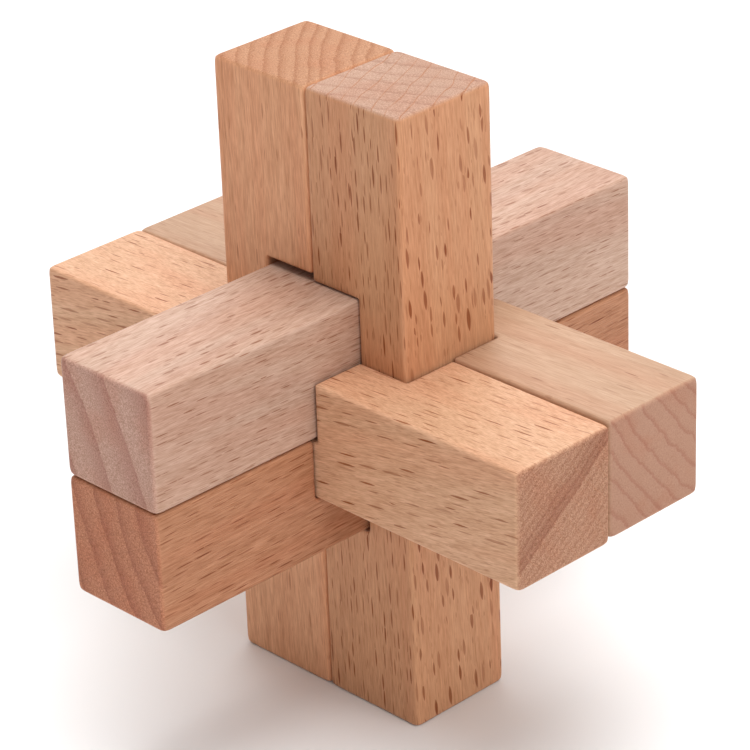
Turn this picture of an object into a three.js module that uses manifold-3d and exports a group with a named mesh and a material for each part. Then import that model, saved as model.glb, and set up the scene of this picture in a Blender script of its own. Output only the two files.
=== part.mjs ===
// Six-piece burr puzzle: six square beech sticks that lock together in three crossing pairs.
//
// Millimetres, +Z up. It stands on the ends of the two uprights, and the origin is on the floor
// under its middle. +X runs along the key stick and the base stick, +Y along the two crossbars.
//
// All the cutting is worked out in units. One unit is half the pitch of two neighbouring sticks,
// so a stick is two units thick and the part of it inside the puzzle is four units long.

import * as THREE from 'three';
import { RoundedBoxGeometry } from 'three/addons/geometries/RoundedBoxGeometry.js';
import { mergeVertices } from 'three/addons/utils/BufferGeometryUtils.js';
import Module from 'manifold-3d';

// Driving dimensions.
const stickWidth = 19;            // square section of every stick
const stickLength = 100;
const fitGap = 0.2;               // clearance that the notches leave all round
const pairGap = 0.1;              // the uprights lie this close together, and so do the crossbars
const edgeRound = 0.7;            // sanded edges of the sticks
const edgeSegments = 3;
const longNotchExtra = 1;         // the rear upright's upper notch is cut this much too long
const deepNotchExtra = 0.4;       // the front upright's lower notch is cut this much too deep
const channelExtra = 0.2;         // the base stick's channel is cut this much too deep
const crossbarDrop = 0.2;         // how far the left crossbar has settled into that channel
const crossbarTilt = 0.4;         // and how many degrees its front end has tipped down

const unit = (stickWidth + fitGap) / 2;
const middleHeight = stickLength / 2;

const xAxis = new THREE.Vector3(1, 0, 0);
const yAxis = new THREE.Vector3(0, 1, 0);
const zAxis = new THREE.Vector3(0, 0, 1);

const wasm = await Module();
wasm.setup();

function toSolid(geometry) {
  geometry.deleteAttribute('normal');
  geometry.deleteAttribute('uv');
  const merged = mergeVertices(geometry, 1e-4);
  return new wasm.Manifold(new wasm.Mesh({
    numProp: 3,
    vertProperties: new Float32Array(merged.attributes.position.array),
    triVerts: new Uint32Array(merged.index.array),
  }));
}

function toGeometry(solid) {
  const { numProp, vertProperties, triVerts } = solid.getMesh();
  const positions = new Float32Array(triVerts.length * 3);
  triVerts.forEach((vertex, corner) => {
    positions.set(vertProperties.subarray(vertex * numProp, vertex * numProp + 3), corner * 3);
  });
  const geometry = new THREE.BufferGeometry();
  geometry.setAttribute('position', new THREE.BufferAttribute(positions, 3));
  geometry.computeVertexNormals();
  return geometry;
}

function boxBetween(low, high) {
  const size = new THREE.Vector3().subVectors(high, low);
  const geometry = new THREE.BoxGeometry(size.x, size.y, size.z);
  geometry.translate((low.x + high.x) / 2, (low.y + high.y) / 2, (low.z + high.z) / 2);
  return toSolid(geometry);
}

// A stick is drawn lying along its own X, with the face that looks into the puzzle upwards (+Z).
// Both kinds of notch are given by the units along the stick where they start and stop.

// A notch sawn straight across the inner face, down to the middle of the stick.
function notchAcross(from, to, { longer = 0, deeper = 0 } = {}) {
  return boxBetween(
    new THREE.Vector3(from * unit - fitGap / 2, -stickWidth, -fitGap / 2 - deeper),
    new THREE.Vector3(to * unit + fitGap / 2 + longer, stickWidth, stickWidth),
  );
}

// A notch sawn through the whole thickness from the +Y side, as far as the middle of the stick.
function notchInSide(from, to) {
  return boxBetween(
    new THREE.Vector3(from * unit - fitGap / 2, -fitGap / 2, -stickWidth),
    new THREE.Vector3(to * unit + fitGap / 2, stickWidth, stickWidth),
  );
}

function stickGeometry(notches) {
  const bar = new RoundedBoxGeometry(stickLength, stickWidth, stickWidth, edgeSegments, edgeRound);
  return toGeometry(notches.reduce((solid, notch) => solid.subtract(notch), toSolid(bar)));
}

// Puts a stick in the puzzle: which way it runs, and which way its inner face looks. The gap
// between that face and its partner's is the fit's own, unless the pair is pressed closer.
function stick({
  name, along, inwards, notches, color, roughness, gap = fitGap, drop = 0, tilt = 0,
}) {
  const mesh = new THREE.Mesh(
    stickGeometry(notches),
    new THREE.MeshStandardMaterial({ color, roughness, metalness: 0 }),
  );
  const across = new THREE.Vector3().crossVectors(inwards, along);
  const turn = new THREE.Matrix4().makeBasis(along, across, inwards);
  mesh.name = name;
  mesh.quaternion.setFromRotationMatrix(turn);
  mesh.rotateOnWorldAxis(xAxis, THREE.MathUtils.degToRad(tilt));
  mesh.position.copy(inwards).multiplyScalar(-(stickWidth + gap) / 2);
  mesh.position.z -= drop;
  return mesh;
}

// The key has no notch at all, so once it is pushed out the others can follow.
const keyStick = stick({
  name: 'key_stick',
  along: xAxis,
  inwards: zAxis.clone().negate(),
  notches: [],
  color: 0xc79a7c,
  roughness: 0.6,
});

// The base stick lies under the key, with one long channel the whole width of the puzzle.
const baseStick = stick({
  name: 'base_stick',
  along: xAxis,
  inwards: zAxis,
  notches: [notchAcross(-2, 2, { deeper: channelExtra })],
  color: 0xb37a5c,
  roughness: 0.6,
});

// The two uprights are alike: a tooth one unit wide is left between a short notch for the base
// stick and a long one for the key and the top halves of the crossbars.
const rearUpright = stick({
  name: 'rear_upright',
  along: zAxis,
  inwards: yAxis.clone().negate(),
  notches: [notchAcross(-2, -1), notchAcross(0, 2, { longer: longNotchExtra })],
  color: 0xcc9c7b,
  roughness: 0.6,
  gap: pairGap,
});
const frontUpright = stick({
  name: 'front_upright',
  along: zAxis,
  inwards: yAxis,
  notches: [notchAcross(-2, -1, { deeper: deepNotchExtra }), notchAcross(0, 2)],
  color: 0xc69473,
  roughness: 0.6,
  gap: pairGap,
});

// The two crossbars mirror each other. Each has a long channel for the uprights and a side notch
// that lets the key pass, so both lift straight up when the key is out.
const crossbarNotches = () => [notchAcross(-2, 2), notchInSide(-1, 1)];
const leftCrossbar = stick({
  name: 'left_crossbar',
  along: yAxis,
  inwards: xAxis,
  notches: crossbarNotches(),
  color: 0xc08a62,
  roughness: 0.6,
  gap: pairGap,
  drop: crossbarDrop,
  tilt: crossbarTilt,
});
const rightCrossbar = stick({
  name: 'right_crossbar',
  along: yAxis.clone().negate(),
  inwards: xAxis.clone().negate(),
  notches: crossbarNotches(),
  color: 0xcfa67f,
  roughness: 0.6,
  gap: pairGap,
});

const burrPuzzle = new THREE.Group();
burrPuzzle.add(keyStick, baseStick, rearUpright, frontUpright, leftCrossbar, rightCrossbar);
burrPuzzle.position.z = middleHeight;

export default burrPuzzle;
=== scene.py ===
import math

import bpy
from mathutils import Matrix, Vector


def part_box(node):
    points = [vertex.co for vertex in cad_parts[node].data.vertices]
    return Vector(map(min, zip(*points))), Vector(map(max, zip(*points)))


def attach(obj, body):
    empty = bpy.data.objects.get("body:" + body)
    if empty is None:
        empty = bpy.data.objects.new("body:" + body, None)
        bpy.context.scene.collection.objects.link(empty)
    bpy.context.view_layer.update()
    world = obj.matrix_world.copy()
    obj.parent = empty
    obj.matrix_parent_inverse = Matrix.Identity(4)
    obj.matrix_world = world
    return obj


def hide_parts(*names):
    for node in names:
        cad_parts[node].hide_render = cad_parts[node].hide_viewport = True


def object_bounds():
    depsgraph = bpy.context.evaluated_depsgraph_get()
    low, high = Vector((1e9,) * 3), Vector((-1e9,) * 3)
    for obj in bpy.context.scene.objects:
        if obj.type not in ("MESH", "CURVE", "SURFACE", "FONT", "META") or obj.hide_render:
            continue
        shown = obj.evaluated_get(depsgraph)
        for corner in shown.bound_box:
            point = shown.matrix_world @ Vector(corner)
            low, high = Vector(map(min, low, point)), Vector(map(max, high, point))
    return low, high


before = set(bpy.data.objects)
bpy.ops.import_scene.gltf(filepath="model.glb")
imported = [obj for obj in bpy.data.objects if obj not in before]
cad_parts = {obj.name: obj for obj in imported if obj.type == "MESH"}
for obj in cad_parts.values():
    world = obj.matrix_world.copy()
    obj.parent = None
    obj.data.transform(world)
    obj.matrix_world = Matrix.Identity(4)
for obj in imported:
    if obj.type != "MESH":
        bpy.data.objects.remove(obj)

cad_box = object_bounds()
MM = 0.001


# ---------------------------------------------------------------------------------------------
# Base stick. A square beech stick lying under the key, with one long channel sawn across its
# upper face. Like the other five it is sawn, sanded with softened edges and lightly oiled, so
# the tools for shaping and finishing a stick are made here.

def feed(tree, socket, value):
    """Wires value into a socket, or sets it there when it is a plain number, vector or colour."""
    if isinstance(value, bpy.types.NodeSocket):
        tree.links.new(value, socket)
    else:
        socket.default_value = value


def maths(tree, operation, *values, clamp=False):
    node = tree.nodes.new("ShaderNodeMath")
    node.operation = operation
    node.use_clamp = clamp
    for socket, value in zip(node.inputs, values):
        feed(tree, socket, value)
    return node.outputs["Value"]


def vector_maths(tree, operation, *values):
    node = tree.nodes.new("ShaderNodeVectorMath")
    node.operation = operation
    for socket, value in zip(node.inputs, values):
        feed(tree, socket, value)
    return node.outputs["Value" if operation in {"LENGTH", "DOT_PRODUCT"} else "Vector"]


def split(tree, vector):
    node = tree.nodes.new("ShaderNodeSeparateXYZ")
    feed(tree, node.inputs["Vector"], vector)
    return node.outputs["X"], node.outputs["Y"], node.outputs["Z"]


def join(tree, x, y, z):
    node = tree.nodes.new("ShaderNodeCombineXYZ")
    for socket, value in zip(node.inputs, (x, y, z)):
        feed(tree, socket, value)
    return node.outputs["Vector"]


def ramp(tree, value, start, end):
    """A smooth step: 0 up to start, 1 from end on. start may be the greater of the two."""
    node = tree.nodes.new("ShaderNodeMapRange")
    node.interpolation_type = "SMOOTHSTEP"
    for name, given in (("Value", value), ("From Min", start), ("From Max", end)):
        feed(tree, node.inputs[name], given)
    return node.outputs["Result"]


def noise(tree, vector, detail=2.0, roughness=0.5):
    node = tree.nodes.new("ShaderNodeTexNoise")
    feed(tree, node.inputs["Vector"], vector)
    node.inputs["Scale"].default_value = 1.0
    node.inputs["Detail"].default_value = detail
    node.inputs["Roughness"].default_value = roughness
    return node.outputs["Fac"]


def rounded_meeting(tree, first, second, radius):
    """Distance to the solid that lies inside both surfaces, with their meeting edge rounded."""
    a = maths(tree, "ADD", first, radius)
    b = maths(tree, "ADD", second, radius)
    inside = maths(tree, "MINIMUM", maths(tree, "MAXIMUM", a, b), 0.0)
    corner = vector_maths(tree, "MAXIMUM", join(tree, a, b, 0.0), (0.0, 0.0, 0.0))
    outside = vector_maths(tree, "LENGTH", corner)
    return maths(tree, "SUBTRACT", maths(tree, "ADD", inside, outside), radius)


def box_distance(tree, position, low, high):
    """Distance to the box between two corners, negative inside it."""
    middle = vector_maths(tree, "SCALE", vector_maths(tree, "ADD", low, high))
    middle.node.inputs["Scale"].default_value = 0.5
    half = vector_maths(tree, "SCALE", vector_maths(tree, "SUBTRACT", high, low))
    half.node.inputs["Scale"].default_value = 0.5
    from_middle = vector_maths(tree, "ABSOLUTE", vector_maths(tree, "SUBTRACT", position, middle))
    beyond = vector_maths(tree, "SUBTRACT", from_middle, half)
    x, y, z = split(tree, beyond)
    inside = maths(tree, "MINIMUM", maths(tree, "MAXIMUM", x, maths(tree, "MAXIMUM", y, z)), 0.0)
    outside = vector_maths(tree, "LENGTH", vector_maths(tree, "MAXIMUM", beyond, (0.0, 0.0, 0.0)))
    return maths(tree, "ADD", inside, outside)


STICK_INPUTS = {
    "Length": "NodeSocketFloat",
    "Width": "NodeSocketFloat",
    "Long Edge Radius": "NodeSocketFloat",
    "End Edge Radius": "NodeSocketFloat",
    "Corner Cut": "NodeSocketFloat",
    "Corner Radius": "NodeSocketFloat",
    "Notch Edge Radius": "NodeSocketFloat",
    "Edge Wear": "NodeSocketFloat",
    "Wear Seed": "NodeSocketFloat",
    "Grid Step": "NodeSocketFloat",
    "Notch 1 Low": "NodeSocketVector",
    "Notch 1 High": "NodeSocketVector",
    "Notch 2 Low": "NodeSocketVector",
    "Notch 2 High": "NodeSocketVector",
    "Centre": "NodeSocketVector",
    "Turn": "NodeSocketVector",
    "Wood": "NodeSocketMaterial",
}


def sawn_stick_tree():
    """A square stick along X, its inner face up, cut by two notch boxes and then put in place."""
    tree = bpy.data.node_groups.new("sawn_stick", "GeometryNodeTree")
    tree.interface.new_socket("Geometry", in_out="OUTPUT", socket_type="NodeSocketGeometry")
    for name, kind in STICK_INPUTS.items():
        tree.interface.new_socket(name, in_out="INPUT", socket_type=kind)
    given = tree.nodes.new("NodeGroupInput").outputs
    position = tree.nodes.new("GeometryNodeInputPosition").outputs["Position"]

    # How far each point lies beyond the end, side and inner or outer face of the blank.
    half_length = maths(tree, "MULTIPLY", given["Length"], 0.5)
    half_width = maths(tree, "MULTIPLY", given["Width"], 0.5)
    x, y, z = split(tree, vector_maths(tree, "ABSOLUTE", position))
    beyond_end = maths(tree, "SUBTRACT", x, half_length)
    beyond_side = maths(tree, "SUBTRACT", y, half_width)
    beyond_face = maths(tree, "SUBTRACT", z, half_width)

    # Hand sanding leaves the edge radius a little uneven along the stick.
    seed_shift = join(tree, given["Wear Seed"], given["Wear Seed"], given["Wear Seed"])
    scaled = vector_maths(tree, "MULTIPLY", position, (90.0, 160.0, 160.0))
    unevenness = noise(tree, vector_maths(tree, "ADD", scaled, seed_shift), detail=2.0)
    wander = maths(tree, "MULTIPLY", maths(tree, "SUBTRACT", unevenness, 0.5), 2.0)
    swing = maths(tree, "MULTIPLY_ADD", wander, given["Edge Wear"], 1.0)
    long_radius = maths(tree, "MULTIPLY", given["Long Edge Radius"], swing)
    end_radius = maths(tree, "MULTIPLY", given["End Edge Radius"], swing)

    section = rounded_meeting(tree, beyond_side, beyond_face, long_radius)
    solid = rounded_meeting(tree, section, beyond_end, end_radius)

    # The eight corners catch the sandpaper most, so each is taken off on the slant as well.
    total = maths(tree, "ADD", beyond_end, maths(tree, "ADD", beyond_side, beyond_face))
    corner = maths(tree, "MULTIPLY_ADD", given["Corner Cut"], swing,
                   maths(tree, "DIVIDE", total, math.sqrt(3.0)))
    solid = rounded_meeting(tree, solid, corner, given["Corner Radius"])
    notch_distances = []
    for number in ("1", "2"):
        notch = box_distance(tree, position, given[f"Notch {number} Low"], given[f"Notch {number} High"])
        notch_distances.append(notch)
        solid = rounded_meeting(tree, solid, maths(tree, "MULTIPLY", notch, -1.0),
                                given["Notch Edge Radius"])

    # The blank is meshed from a fine grid of distances, so that every edge comes out rounded.
    step = given["Grid Step"]
    grid = tree.nodes.new("GeometryNodeVolumeCube")
    feed(tree, grid.inputs["Density"], maths(tree, "MULTIPLY_ADD", solid, -1.0 / MM, 1.0))
    margin = maths(tree, "MULTIPLY", step, 3.0)
    reach = [maths(tree, "ADD", half, margin) for half in (half_length, half_width, half_width)]
    feed(tree, grid.inputs["Max"], join(tree, *reach))
    feed(tree, grid.inputs["Min"],
         vector_maths(tree, "MULTIPLY", join(tree, *reach), (-1.0, -1.0, -1.0)))
    for axis, far in zip("XYZ", reach):
        cells = maths(tree, "DIVIDE", maths(tree, "MULTIPLY", far, 2.0), step)
        points = maths(tree, "ROUND", maths(tree, "ADD", cells, 1.0))
        feed(tree, grid.inputs[f"Resolution {axis}"], points)
    skin = tree.nodes.new("GeometryNodeVolumeToMesh")
    feed(tree, skin.inputs["Volume"], grid.outputs["Volume"])
    skin.inputs["Threshold"].default_value = 1.0
    skin.inputs["Adaptivity"].default_value = 0.0

    # What the finish needs to know: cut ends of the fibres, rounded edges and sawn notch walls.
    normal = tree.nodes.new("GeometryNodeInputNormal").outputs["Normal"]
    along_grain = split(tree, vector_maths(tree, "ABSOLUTE", normal))[0]
    end_grain = ramp(tree, along_grain, 0.45, 0.85)
    highest = maths(tree, "MAXIMUM", beyond_end, maths(tree, "MAXIMUM", beyond_side, beyond_face))
    lowest = maths(tree, "MINIMUM", beyond_end, maths(tree, "MINIMUM", beyond_side, beyond_face))
    to_edge = maths(tree, "SUBTRACT", maths(tree, "SUBTRACT", total, highest), lowest)
    arris = ramp(tree, to_edge, -0.75 * MM, -0.25 * MM)
    to_notch = maths(tree, "MINIMUM", *[maths(tree, "ABSOLUTE", d) for d in notch_distances])
    sawn = ramp(tree, to_notch, 0.35 * MM, 0.1 * MM)
    geometry = skin.outputs["Mesh"]
    for name, value in (("end_grain", end_grain), ("arris", arris), ("sawn", sawn)):
        store = tree.nodes.new("GeometryNodeStoreNamedAttribute")
        store.data_type = "FLOAT"
        store.domain = "POINT"
        feed(tree, store.inputs["Geometry"], geometry)
        store.inputs["Name"].default_value = name
        feed(tree, store.inputs["Value"], value)
        geometry = store.outputs["Geometry"]

    turn = tree.nodes.new("FunctionNodeEulerToRotation")
    feed(tree, turn.inputs["Euler"], given["Turn"])
    place = tree.nodes.new("GeometryNodeTransform")
    feed(tree, place.inputs["Geometry"], geometry)
    feed(tree, place.inputs["Translation"], given["Centre"])
    feed(tree, place.inputs["Rotation"], turn.outputs["Rotation"])
    smooth = tree.nodes.new("GeometryNodeSetShadeSmooth")
    feed(tree, smooth.inputs["Geometry"], place.outputs["Geometry"])
    real = tree.nodes.new("GeometryNodeRealizeInstances")
    feed(tree, real.inputs["Geometry"], smooth.outputs["Geometry"])
    finish = tree.nodes.new("GeometryNodeSetMaterial")
    feed(tree, finish.inputs["Geometry"], real.outputs["Geometry"])
    feed(tree, finish.inputs["Material"], given["Wood"])
    feed(tree, tree.nodes.new("NodeGroupOutput").inputs["Geometry"], finish.outputs["Geometry"])
    return tree


# The pitch of two neighbouring sticks sets where every notch starts and stops.
def box_centre(node):
    low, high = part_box(node)
    return (low + high) / 2


front_low, front_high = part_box("front_upright")
STICK_WIDTH = front_high.x - front_low.x
STICK_LENGTH = front_high.z - front_low.z
UNIT = (box_centre("key_stick").z - box_centre("base_stick").z) / 2
FIT_GAP = 2 * UNIT - STICK_WIDTH


def notch_across(start, stop, longer=0.0, deeper=0.0):
    """Sawn across the inner face down to the middle of the stick; start and stop are in units."""
    return (Vector((start * UNIT - FIT_GAP / 2, -STICK_WIDTH, -FIT_GAP / 2 - deeper)),
            Vector((stop * UNIT + FIT_GAP / 2 + longer, STICK_WIDTH, STICK_WIDTH)))


def notch_in_side(start, stop):
    """Sawn through from the side as far as the middle of the stick."""
    return (Vector((start * UNIT - FIT_GAP / 2, -FIT_GAP / 2, -STICK_WIDTH)),
            Vector((stop * UNIT + FIT_GAP / 2, STICK_WIDTH, STICK_WIDTH)))


# Takes the place of a notch on a stick that has fewer than two: it is too far away to cut.
NO_NOTCH = (Vector((0.0, 0.0, 1.0)), Vector((0.01, 0.01, 1.01)))
sawn_stick = sawn_stick_tree()


def saw_stick(name, node, along, inwards, notches, wood, seed, edge=0.6 * MM, tilt=0.0):
    """One finished stick as a plain mesh, where its CAD node is."""
    along = Vector(along)
    inwards = Vector(inwards)
    turn = Matrix((along, inwards.cross(along), inwards)).transposed()
    turn = Matrix.Rotation(tilt, 3, "X") @ turn
    cuts = list(notches) + [NO_NOTCH] * (2 - len(notches))
    values = {
        "Length": STICK_LENGTH,
        "Width": STICK_WIDTH,
        "Long Edge Radius": edge,
        "End Edge Radius": 0.4 * MM,
        "Corner Cut": 0.2 * MM,
        "Corner Radius": 0.8 * MM,
        "Notch Edge Radius": 0.3 * MM,
        "Edge Wear": 0.45,
        "Wear Seed": seed,
        "Grid Step": 0.33 * MM,
        "Notch 1 Low": cuts[0][0],
        "Notch 1 High": cuts[0][1],
        "Notch 2 Low": cuts[1][0],
        "Notch 2 High": cuts[1][1],
        "Centre": box_centre(node),
        "Turn": Vector(turn.to_euler()),
        "Wood": wood,
    }
    blank = bpy.data.objects.new(name + "_blank", bpy.data.meshes.new(name + "_blank"))
    bpy.context.scene.collection.objects.link(blank)
    maker = blank.modifiers.new("sawn_stick", "NODES")
    maker.node_group = sawn_stick
    for socket in sawn_stick.interface.items_tree:
        if socket.in_out == "INPUT":
            maker[socket.identifier] = values[socket.name]
    shaped = blank.evaluated_get(bpy.context.evaluated_depsgraph_get())
    stick = bpy.data.objects.new(name, bpy.data.meshes.new_from_object(shaped))
    stick.data.name = name
    bpy.context.scene.collection.objects.link(stick)
    bpy.data.objects.remove(blank)
    return stick


def attribute(tree, name):
    node = tree.nodes.new("ShaderNodeAttribute")
    node.attribute_name = name
    return node.outputs["Fac"]


def mix_colour(tree, amount, first, second, blend="MIX"):
    node = tree.nodes.new("ShaderNodeMix")
    node.data_type = "RGBA"
    node.blend_type = blend
    node.clamp_factor = True
    feed(tree, node.inputs[0], amount)
    feed(tree, node.inputs[6], first)
    feed(tree, node.inputs[7], second)
    return node.outputs[2]


def rgba(colour):
    return (*colour, 1.0)


BLUSH = (0.98, 0.9, 0.87)
FLECK_TINT = (0.42, 0.2, 0.08)
FINE_FLECK_STRENGTH = 0.32
SPOKE_PITCH = 2.6
SAW_MARK_PITCH = 1.6


def beech(name, node, grain, heart, heart_distance, early, late, ring_spacing, ring_band=0.6,
          ring_line=0.3, ring_wave=0.15, side_rings=0.2, dark_band=None, end_tint=(0.9, 0.9, 0.9),
          fleck_amount=0.8, fleck_share=0.9, fleck_length=1.4, fleck_width=0.12,
          fleck_spacing=(4.5, 2.0, 1.3), ray_lines=0.3, streaks=1.0, speckle=1.0, seed=0.0):
    """Sanded, lightly oiled beech, solid all the way through: the growth rings curve about the
    heart of the tree, which lies heart_distance away, and lengths are in millimetres."""
    wood = bpy.data.materials.new(name)
    wood.use_nodes = True
    tree = wood.node_tree
    shader = tree.nodes["Principled BSDF"]

    # Timber position in millimetres: along the grain, towards the heart, and across both.
    grain = Vector(grain).normalized()
    heart = Vector(heart)
    heart = (heart - heart.dot(grain) * grain).normalized()
    turn = Matrix((grain, heart, grain.cross(heart))).transposed()
    place = tree.nodes.new("ShaderNodeMapping")
    place.vector_type = "TEXTURE"
    feed(tree, place.inputs["Vector"], tree.nodes.new("ShaderNodeTexCoord").outputs["Object"])
    place.inputs["Location"].default_value = box_centre(node)
    place.inputs["Rotation"].default_value = turn.to_euler()
    place.inputs["Scale"].default_value = (MM, MM, MM)
    timber = place.outputs["Vector"]
    own = vector_maths(tree, "ADD", timber, (seed * 37.0, seed * 11.0, seed * 23.0))
    along, towards_heart, across = split(tree, timber)
    end_grain = attribute(tree, "end_grain")
    arris = attribute(tree, "arris")
    sawn = attribute(tree, "sawn")
    side = maths(tree, "SUBTRACT", 1.0, end_grain)

    def grained(x, y, z, **options):
        """Noise with so many features per millimetre each way."""
        return noise(tree, vector_maths(tree, "MULTIPLY", own, (x, y, z)), **options)

    def centred(value, gain):
        return maths(tree, "MULTIPLY", maths(tree, "SUBTRACT", value, 0.5), gain)

    # Growth rings: pale early wood darkens outwards to late wood, then stops at a sharp line.
    depth = maths(tree, "SUBTRACT", heart_distance, towards_heart)
    radius = vector_maths(tree, "LENGTH", join(tree, depth, across, 0.0))
    drift = centred(grained(0.012, 0.05, 0.05), 3.0)
    ripple = centred(grained(0.02, 0.15, 0.45, detail=2.0), 4.0 * ring_wave)
    fuzz = centred(grained(0.4, 2.0, 2.0, detail=3.0, roughness=0.7), 0.8)
    radius = maths(tree, "ADD", radius, maths(tree, "ADD", drift, maths(tree, "ADD", ripple, fuzz)))
    years = maths(tree, "DIVIDE", radius, ring_spacing)
    uneven = noise(tree, join(tree, maths(tree, "MULTIPLY", years, 0.45), seed, 0.0), detail=1.0)
    years = maths(tree, "ADD", years, centred(uneven, 0.9))
    season = maths(tree, "FRACT", years)
    ending = ramp(tree, season, 1.0, 1.0 - 0.25 / ring_spacing)
    band = maths(tree, "MULTIPLY", maths(tree, "POWER", ramp(tree, season, 0.15, 0.98), 1.6), ending)
    line = maths(tree, "MULTIPLY", ramp(tree, season, 1.0 - 0.9 / ring_spacing,
                                        1.0 - 0.35 / ring_spacing), ending)
    shown = maths(tree, "MULTIPLY_ADD", end_grain, 1.0 - side_rings, side_rings)
    lateness = maths(tree, "ADD", maths(tree, "MULTIPLY", band, ring_band),
                     maths(tree, "MULTIPLY", line, ring_line))
    # One stick has a wide dark band too, soft towards the heart and sharp on its outer side.
    if dark_band:
        band_middle, band_width, band_amount = dark_band
        from_band = maths(tree, "SUBTRACT", radius, heart_distance + band_middle)
        inner = ramp(tree, from_band, -0.5 * band_width - 2.0, 0.4 * band_width)
        outer = ramp(tree, from_band, 0.5 * band_width + 0.2, 0.5 * band_width - 0.2)
        wide = maths(tree, "MULTIPLY", maths(tree, "MULTIPLY", inner, outer), band_amount)
        lateness = maths(tree, "ADD", lateness, wide)
    colour = mix_colour(tree, maths(tree, "MULTIPLY", lateness, shown), rgba(early), rgba(late))
    colour = mix_colour(tree, end_grain, colour, rgba(end_tint), blend="MULTIPLY")

    # Broad soft bands blush a little pinker and browner.
    bands = ramp(tree, grained(0.01, 0.16, 0.16, detail=2.0), 0.42, 0.68)
    colour = mix_colour(tree, bands, colour, rgba(BLUSH), blend="MULTIPLY")

    # Long soft streaks and fine fibres on the faces along the grain, pores on the cut ends.
    soft = centred(grained(0.02, 0.45, 0.45, detail=2.0), 0.2)
    fibre = centred(grained(0.12, 1.4, 2.4, detail=3.0, roughness=0.6), 0.5)
    hair = centred(grained(0.3, 3.5, 7.0, detail=2.0, roughness=0.6), 1.0)
    pores = centred(grained(1.5, 4.5, 4.5, detail=3.0, roughness=0.8), 2.2 * speckle)
    cloud = centred(grained(0.03, 0.06, 0.06, detail=1.0), 0.2)
    fibres = maths(tree, "MULTIPLY", maths(tree, "ADD", soft, maths(tree, "ADD", fibre, hair)), streaks)
    on_side = maths(tree, "MULTIPLY", fibres, side)
    on_end = maths(tree, "MULTIPLY", pores, end_grain)
    shade = maths(tree, "ADD", maths(tree, "ADD", on_side, on_end), cloud)
    shade = maths(tree, "ADD", shade, 1.0)

    # Medullary rays are thin upright sheets. Cut across on a face along the grain, each shows
    # as a short dark spindle, thin on one pair of faces and wider on the other.
    def rays(spacing, length, width, share):
        spacing = Vector(spacing)
        cells = tree.nodes.new("ShaderNodeTexVoronoi")
        cells.inputs["Scale"].default_value = 1.0
        cells.inputs["Randomness"].default_value = 0.9
        scaled = vector_maths(tree, "DIVIDE", own, spacing)
        feed(tree, cells.inputs["Vector"], scaled)
        away = vector_maths(tree, "MULTIPLY",
                            vector_maths(tree, "SUBTRACT", scaled, cells.outputs["Position"]), spacing)
        away_along, away_deep, away_wide = split(tree, away)
        chance = tree.nodes.new("ShaderNodeSeparateColor")
        feed(tree, chance.inputs["Color"], cells.outputs["Color"])
        size = maths(tree, "MULTIPLY_ADD", chance.outputs["Red"], 0.8, 0.6)
        long_part = maths(tree, "DIVIDE", away_along, maths(tree, "MULTIPLY", size, length))
        deep_part = maths(tree, "DIVIDE", away_deep, 0.5 * spacing.y)
        wide_part = maths(tree, "DIVIDE", maths(tree, "ABSOLUTE", away_wide),
                          maths(tree, "MULTIPLY", size, width))
        long_taper = maths(tree, "SUBTRACT", 1.0, maths(tree, "MULTIPLY", long_part, long_part),
                           clamp=True)
        deep_taper = maths(tree, "SUBTRACT", 1.0, maths(tree, "MULTIPLY", deep_part, deep_part),
                           clamp=True)
        taper = maths(tree, "MULTIPLY", long_taper, maths(tree, "POWER", deep_taper, 0.5))
        sheet = ramp(tree, maths(tree, "SUBTRACT", taper, wide_part), -0.1, 0.35)
        sheet = maths(tree, "MULTIPLY", sheet, ramp(tree, taper, 0.0, 0.3))
        present = ramp(tree, chance.outputs["Green"], 1.0 - share, 1.05 - share)
        strength = maths(tree, "MULTIPLY_ADD", chance.outputs["Blue"], 0.7, 0.3)
        return maths(tree, "MULTIPLY", maths(tree, "MULTIPLY", sheet, present), strength)

    broad = rays(fleck_spacing, fleck_length, fleck_width, fleck_share)
    fine = rays(spacing=(2.3, 1.3, 0.6), length=0.6, width=0.07, share=0.8)
    fleck = maths(tree, "MAXIMUM", broad, maths(tree, "MULTIPLY", fine, FINE_FLECK_STRENGTH))
    side_fleck = maths(tree, "MULTIPLY", fleck, side)

    # The same rays seen on the cut ends: thin lines running from the heart outwards.
    fan = maths(tree, "MULTIPLY", maths(tree, "ARCTAN2", across, depth), heart_distance)
    sway = centred(noise(tree, join(tree, maths(tree, "MULTIPLY", towards_heart, 0.08),
                                    maths(tree, "MULTIPLY", fan, 0.25), seed)), 1.2)
    spoke = maths(tree, "FRACT", maths(tree, "ADD", maths(tree, "DIVIDE", fan, SPOKE_PITCH), sway))
    ray = ramp(tree, maths(tree, "ABSOLUTE", maths(tree, "SUBTRACT", spoke, 0.5)), 0.05, 0.01)
    patchy = ramp(tree, grained(0.1, 0.15, 0.5), 0.2, 0.5)
    ray = maths(tree, "MULTIPLY", maths(tree, "MULTIPLY", ray, patchy), end_grain)

    colour = mix_colour(tree, maths(tree, "MULTIPLY", side_fleck, fleck_amount), colour,
                        rgba(FLECK_TINT), blend="MULTIPLY")
    colour = mix_colour(tree, maths(tree, "MULTIPLY", ray, ray_lines), colour, rgba(late))

    # Sawn notch walls and rounded edges are a little paler.
    shade = maths(tree, "MULTIPLY_ADD", sawn, 0.05, shade)
    shade = maths(tree, "MULTIPLY_ADD", arris, 0.1, shade)
    # Darker fibres are redder too, so the shade tells least on red and most on blue.
    red_shade = maths(tree, "MULTIPLY_ADD", shade, 0.75, 0.25)
    blue_shade = maths(tree, "MULTIPLY_ADD", shade, 1.25, -0.25)
    scaled_colour = vector_maths(tree, "MULTIPLY", colour, join(tree, red_shade, shade, blue_shade))
    feed(tree, shader.inputs["Base Color"], scaled_colour)

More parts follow.
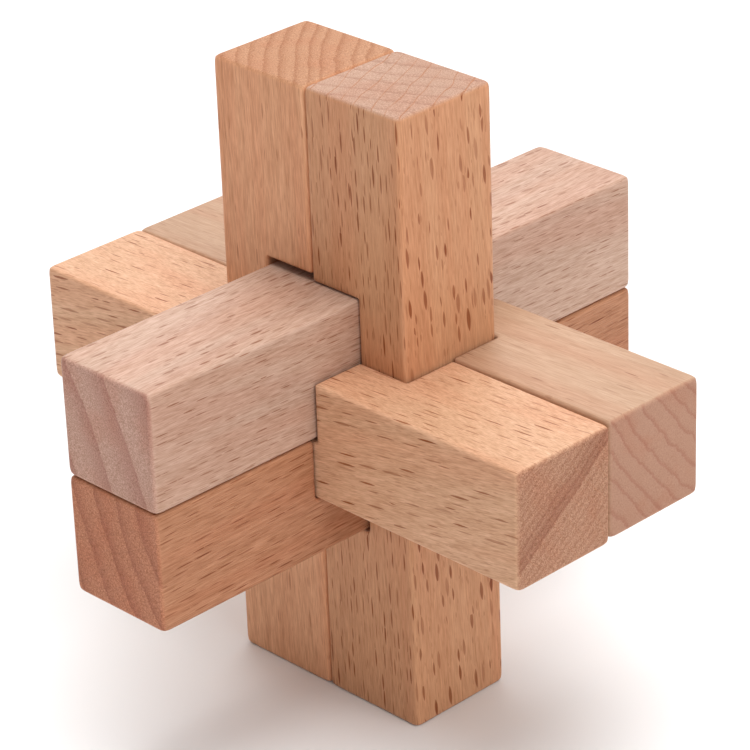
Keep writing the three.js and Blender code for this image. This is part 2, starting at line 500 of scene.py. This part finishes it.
    # Satin where sanded, duller on the ends and saw cuts.
    rough = maths(tree, "MULTIPLY_ADD", end_grain, 0.12, 0.48)
    rough = maths(tree, "MULTIPLY_ADD", sawn, 0.15, rough)
    rough = maths(tree, "MULTIPLY_ADD", fibres, -0.3, rough)
    feed(tree, shader.inputs["Roughness"], rough)
    shader.inputs["Specular IOR Level"].default_value = 0.2

    # Fibres and pores stand in fine relief, and the saw leaves shallow steps in the notches.
    kerf = maths(tree, "FRACT", maths(tree, "DIVIDE", along, SAW_MARK_PITCH))
    kerf = maths(tree, "MULTIPLY", maths(tree, "MULTIPLY", kerf, sawn), 1.2)
    relief = maths(tree, "MULTIPLY_ADD", side_fleck, -0.15, shade)
    relief = maths(tree, "ADD", relief, kerf)
    bump = tree.nodes.new("ShaderNodeBump")
    bump.inputs["Strength"].default_value = 0.6
    bump.inputs["Distance"].default_value = 0.07 * MM
    feed(tree, bump.inputs["Height"], relief)
    feed(tree, shader.inputs["Normal"], bump.outputs["Normal"])
    return wood


CHANNEL_EXTRA = 0.2 * MM

base_beech = beech(
    "base_beech", "base_stick", grain=(1, 0, 0.02), heart=(0, -0.906, 0.423), heart_distance=65.0,
    early=(0.433, 0.195, 0.102), late=(0.319, 0.122, 0.062), ring_spacing=4.4, ring_band=0.7,
    ring_line=0.15, end_tint=(1.12, 1.0, 1.04), fleck_amount=0.9, fleck_length=1.6,
    fleck_width=0.1, fleck_spacing=(3.8, 2.2, 1.1), streaks=1.25, speckle=1.3, seed=1.0,
)
base = saw_stick("base_stick_wood", "base_stick", along=(1, 0, 0), inwards=(0, 0, 1),
                 notches=[notch_across(-2, 2, deeper=CHANNEL_EXTRA)], wood=base_beech, seed=1.0,
                 edge=0.45 * MM)
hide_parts("base_stick")
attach(base, "puzzle_frame")


# ---------------------------------------------------------------------------------------------
# Rear upright. A sanded beech stick that closes on the base stick from the rear, hooked over it
# by a tooth left between a short notch and a long one. The long one is sawn a little too long.

LONG_NOTCH_EXTRA = 1.0 * MM

rear_beech = beech(
    "rear_upright_beech", "rear_upright", grain=(0, 0.035, 1), heart=(0.658, -0.753, 0),
    heart_distance=110.0, early=(0.67, 0.336, 0.181), late=(0.515, 0.221, 0.103), ring_spacing=2.2,
    ring_band=0.8, ring_line=0.1, end_tint=(0.76, 0.76, 0.78), fleck_amount=0.6, fleck_share=0.5,
    fleck_width=0.1, fleck_spacing=(5.0, 2.0, 1.3), ray_lines=0.1, seed=2.0,
)
rear = saw_stick("rear_upright_wood", "rear_upright", along=(0, 0, 1), inwards=(0, -1, 0),
                 notches=[notch_across(-2, -1), notch_across(0, 2, longer=LONG_NOTCH_EXTRA)],
                 wood=rear_beech, seed=2.0, edge=0.4 * MM)
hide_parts("rear_upright")
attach(rear, "puzzle_frame")


# ---------------------------------------------------------------------------------------------
# Front upright. The rear one's twin, closing from the front: sanded beech with long dark ray
# flecks. Its lower notch is sawn a little too deep.

DEEP_NOTCH_EXTRA = 0.4 * MM

front_beech = beech(
    "front_upright_beech", "front_upright", grain=(-0.04, 0.02, 1), heart=(0.9, 0.4, 0),
    heart_distance=140.0, early=(0.58, 0.291, 0.152), late=(0.42, 0.171, 0.081), ring_spacing=3.3,
    ring_band=0.1, ring_line=0.4, end_tint=(0.86, 1.04, 1.42), fleck_amount=1.0, fleck_share=1.0,
    fleck_length=1.6, fleck_width=0.14, fleck_spacing=(3.8, 2.6, 1.15), ray_lines=1.0,
    streaks=0.8, seed=3.0,
)
front = saw_stick("front_upright_wood", "front_upright", along=(0, 0, 1), inwards=(0, 1, 0),
                  notches=[notch_across(-2, -1, deeper=DEEP_NOTCH_EXTRA), notch_across(0, 2)],
                  wood=front_beech, seed=3.0, edge=0.6 * MM)
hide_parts("front_upright")
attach(front, "puzzle_frame")


# ---------------------------------------------------------------------------------------------
# Left crossbar. A sanded beech stick that drops over the uprights from above; its channel keeps
# them from moving apart, and a notch in its side leaves room for the key. It tilts a little, front end
# down.

CROSSBAR_NOTCHES = [notch_across(-2, 2), notch_in_side(-1, 1)]
LEFT_TILT = math.radians(0.4)

left_beech = beech(
    "left_crossbar_beech", "left_crossbar", grain=(-0.07, -1, 0.213), heart=(-0.603, 0, 0.798),
    heart_distance=200.0, early=(0.653, 0.376, 0.227), late=(0.439, 0.196, 0.108), ring_spacing=1.3,
    ring_band=0.25, ring_line=0.18, side_rings=0.1, dark_band=(8.6, 3.5, 0.65),
    end_tint=(0.68, 0.6, 0.6), fleck_amount=1.0, fleck_length=1.9, fleck_width=0.11,
    fleck_spacing=(4.6, 2.6, 1.2), ray_lines=0.45, speckle=1.4, seed=4.0,
)
left = saw_stick("left_crossbar_wood", "left_crossbar", along=(0, 1, 0), inwards=(1, 0, 0),
                 notches=CROSSBAR_NOTCHES, wood=left_beech, seed=4.0, tilt=LEFT_TILT, edge=0.35 * MM)
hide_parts("left_crossbar")
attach(left, "puzzle_frame")


# ---------------------------------------------------------------------------------------------
# Right crossbar. The mirror twin of the left one, in paler sanded beech, dropped on from above
# in the same way and level.

right_beech = beech(
    "right_crossbar_beech", "right_crossbar", grain=(0.056, -1, 0), heart=(0.756, 0, 0.654),
    heart_distance=60.0, early=(0.48, 0.296, 0.188), late=(0.38, 0.177, 0.107), ring_spacing=2.7,
    ring_band=0.15, ring_line=0.45, ring_wave=0.35, side_rings=0.1, end_tint=(0.88, 0.76, 0.79),
    fleck_amount=0.62, fleck_share=0.6, fleck_width=0.1, fleck_spacing=(5.0, 2.4, 1.6),
    ray_lines=0.15, streaks=0.7, speckle=0.45, seed=5.0,
)
right = saw_stick("right_crossbar_wood", "right_crossbar", along=(0, -1, 0), inwards=(-1, 0, 0),
                  notches=CROSSBAR_NOTCHES, wood=right_beech, seed=5.0, edge=0.35 * MM)
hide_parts("right_crossbar")
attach(right, "puzzle_frame")


# ---------------------------------------------------------------------------------------------
# Key stick. The only plain stick: it is pushed in last, along the top of the base stick, and
# locks the rest. It is the pinkest of the six, with short dark ray flecks all over.

key_beech = beech(
    "key_beech", "key_stick", grain=(1, 0.066, -0.05), heart=(0, 0.923, -0.384),
    heart_distance=150.0, early=(0.53, 0.346, 0.257), late=(0.408, 0.212, 0.153), ring_spacing=7.5,
    ring_band=0.75, ring_line=0.1, end_tint=(0.98, 0.88, 0.9), fleck_amount=0.8,
    fleck_length=1.2, fleck_width=0.09, fleck_spacing=(2.8, 1.6, 0.9), ray_lines=0.2,
    speckle=1.2, seed=6.0,
)
key = saw_stick("key_stick_wood", "key_stick", along=(1, 0, 0), inwards=(0, 0, -1),
                notches=[], wood=key_beech, seed=6.0, edge=0.4 * MM)
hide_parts("key_stick")
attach(key, "key")


# ---------------------------------------------------------------------------------------------
# The studio. The puzzle stands on a plain pale floor that runs on out of sight, under three big
# soft lights, and a long lens looks down on its left front corner.

FLOOR_HALF = 6.0
floor_mesh = bpy.data.meshes.new("floor")
floor_mesh.from_pydata(
    [(-FLOOR_HALF, -FLOOR_HALF, 0), (FLOOR_HALF, -FLOOR_HALF, 0),
     (FLOOR_HALF, FLOOR_HALF, 0), (-FLOOR_HALF, FLOOR_HALF, 0)], [], [(0, 1, 2, 3)])
floor = bpy.data.objects.new("floor", floor_mesh)
bpy.context.scene.collection.objects.link(floor)
paper = bpy.data.materials.new("white_paper")
paper.use_nodes = True
paper_shader = paper.node_tree.nodes["Principled BSDF"]
paper_shader.inputs["Base Color"].default_value = (0.88, 0.88, 0.88, 1)
paper_shader.inputs["Roughness"].default_value = 0.9
paper_shader.inputs["Specular IOR Level"].default_value = 0.0
floor_mesh.materials.append(paper)

world = bpy.data.worlds.new("studio")
world.use_nodes = True
world.node_tree.nodes["Background"].inputs["Color"].default_value = (1.0, 1.0, 1.0, 1)
world.node_tree.nodes["Background"].inputs["Strength"].default_value = 0.34
bpy.context.scene.world = world


def softbox(name, azimuth, elevation, strength, angle):
    """A distant soft light: azimuth 0 shines from -Y and 90 from +X."""
    light = bpy.data.lights.new(name, "SUN")
    light.energy = strength
    light.angle = math.radians(angle)
    lamp = bpy.data.objects.new(name, light)
    turn = math.radians(azimuth)
    tilt = math.radians(elevation)
    source = Vector((math.sin(turn) * math.cos(tilt), -math.cos(turn) * math.cos(tilt), math.sin(tilt)))
    lamp.rotation_euler = source.to_track_quat("Z", "Y").to_euler()
    bpy.context.scene.collection.objects.link(lamp)


softbox("overhead_softbox", azimuth=0.0, elevation=85.0, strength=1.95, angle=45.0)
softbox("front_softbox", azimuth=0.0, elevation=35.0, strength=1.0, angle=45.0)
softbox("rear_softbox", azimuth=135.0, elevation=45.0, strength=1.5, angle=45.0)

CAMERA_AZIMUTH = math.radians(-43.84)
CAMERA_ELEVATION = math.radians(26.74)
CAMERA_ROLL = math.radians(-2.17)
CAMERA_DISTANCE = 0.534
CAMERA_LENS = 170.0
AIM_OFFSET = (1.9 * MM, 0.2 * MM)

puzzle_middle = (cad_box[0] + cad_box[1]) / 2
back = Vector((math.sin(CAMERA_AZIMUTH) * math.cos(CAMERA_ELEVATION),
               -math.cos(CAMERA_AZIMUTH) * math.cos(CAMERA_ELEVATION),
               math.sin(CAMERA_ELEVATION)))
level_right = Vector((math.cos(CAMERA_AZIMUTH), math.sin(CAMERA_AZIMUTH), 0.0))
level_up = back.cross(level_right)
right_way = level_right * math.cos(CAMERA_ROLL) + level_up * math.sin(CAMERA_ROLL)
up_way = back.cross(right_way)
lens = bpy.data.cameras.new("camera")
lens.lens = CAMERA_LENS
lens.sensor_width = 36.0
lens.clip_start = 0.01
camera = bpy.data.objects.new("camera", lens)
camera.location = (puzzle_middle + back * CAMERA_DISTANCE
                   + right_way * AIM_OFFSET[0] + up_way * AIM_OFFSET[1])
camera.rotation_euler = Matrix((right_way, up_way, back)).transposed().to_euler()
bpy.context.scene.collection.objects.link(camera)
bpy.context.scene.camera = camera
bpy.context.scene.view_settings.view_transform = "Standard"
